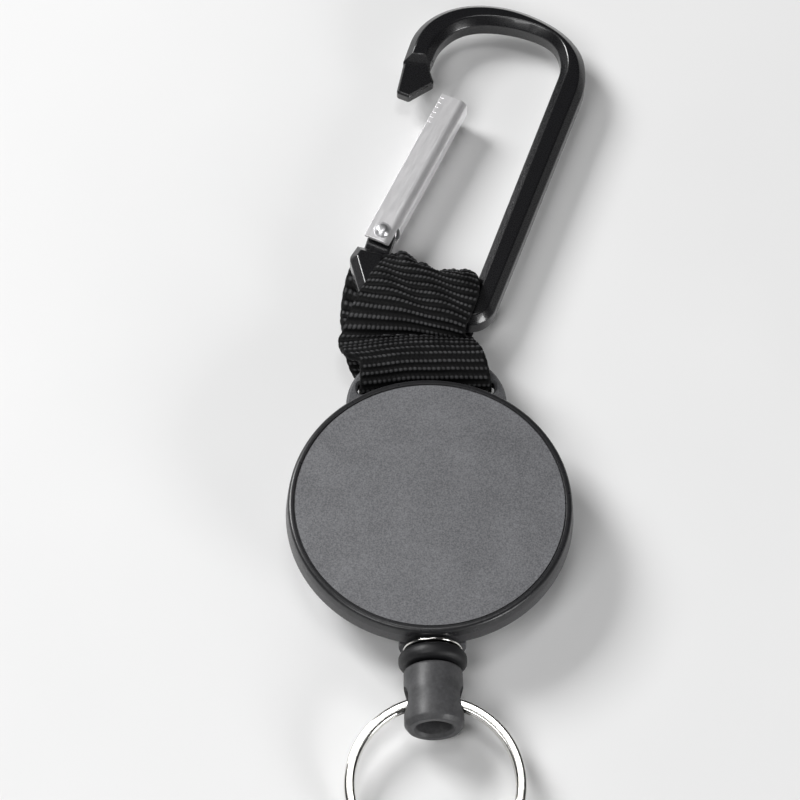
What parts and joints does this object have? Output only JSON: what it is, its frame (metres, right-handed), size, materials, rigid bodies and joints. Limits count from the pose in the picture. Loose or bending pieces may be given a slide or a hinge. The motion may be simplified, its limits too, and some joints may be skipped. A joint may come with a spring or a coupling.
{
  "type": "retractable badge reel",
  "caption": "Round spring reel with a webbing strap to a gated carabiner, and a pull cord that ends in a rubber sleeve and split ring.",
  "frame": {"origin": "centre of the reel's flat back face, which is the plane the part lies on", "axes": "+Z out of the reel's face, +Y towards the carabiner, the cord leaves along -Y, +X to the right as the face is seen with the carabiner at the top"},
  "size_m": [0.0457, 0.1409, 0.0102],
  "materials": {
    "case_rear_plastic": "fine spark-eroded grain, black",
    "case_face_plastic": "fine spark-eroded grain, dark grey",
    "nickel_plate": "bright nickel plate",
    "drum_plastic": "natural acetal, smooth",
    "spring_cover_steel": "rolled",
    "spring_steel": "blued, oiled",
    "cord_coating": "black nylon over fine steel cable",
    "crimp_brass": "bare",
    "crimp_aluminium": "bare, crimped",
    "bumper_rubber": "semi-matt black",
    "sleeve_rubber": "matt grey-black",
    "strap_webbing": "ribbed black nylon webbing",
    "stitch_thread": "black bonded thread",
    "black_anodised": "glossy black anodised",
    "bare_aluminium": "satin, drawn lengthwise",
    "rivet_steel": "polished dome"
  },
  "bodies": {
    "case": {"rear_case": "case_rear_plastic", "front_cover": "case_face_plastic", "exit_eyelet": "nickel_plate", "cord_lead_in": "cord_coating"},
    "drum": {"spool": "drum_plastic", "spring_cover": "spring_cover_steel", "power_spring": "spring_steel", "wound_cord": "cord_coating", "cord_anchor": "crimp_brass"},
    "cord_end": {"pull_cord": "cord_coating", "cord_ferrule": "crimp_aluminium", "rubber_bumper": "bumper_rubber", "rubber_sleeve": "sleeve_rubber"},
    "ring": {"split_ring": "nickel_plate"},
    "strap_loop": {"strap": "strap_webbing", "strap_stitching": "stitch_thread"},
    "carabiner": {"carabiner_frame": "black_anodised", "gate_rivet": "rivet_steel"},
    "gate_bar": {"gate": "bare_aluminium", "gate_spring": "spring_steel"}
  },
  "joints": [
    {"name": "cord_pull", "type": "slide", "parent": "case", "child": "cord_end", "axis": [0, -1, 0], "range_m": [0, 0.6], "stiffness_N_per_m": 0.5, "springref_m": -1.2},
    {"name": "drum_spin", "type": "hinge", "parent": "case", "child": "drum", "pos_m": [0, 0, 0.0051], "axis": [0, 0, 1], "range_deg": [-2800, 0]},
    {"name": "ring_swing", "type": "hinge", "parent": "cord_end", "child": "ring", "pos_m": [0, -0.0282, 0.0051], "axis": [1, 0, 0], "range_deg": [-100, 75]},
    {"name": "strap_swing", "type": "hinge", "parent": "case", "child": "strap_loop", "pos_m": [0, 0.0248, 0.0042], "axis": [1, 0, 0], "range_deg": [-45, 75]},
    {"name": "carabiner_swing", "type": "hinge", "parent": "strap_loop", "child": "carabiner", "pos_m": [0.0003, 0.0359, 0.0042], "axis": [0.9563, -0.2924, 0], "range_deg": [-60, 90]},
    {"name": "gate_swing", "type": "hinge", "parent": "carabiner", "child": "gate_bar", "pos_m": [-0.00597, 0.04754, 0.0042], "axis": [0, 0, -1], "range_deg": [-12.4, 16], "stiffness_Nm_per_rad": 0.004, "springref_deg": -28.65}
  ],
  "couplings": [
    {"joint": "drum_spin", "follows": "cord_pull", "rad_per_m": -81}
  ]
}
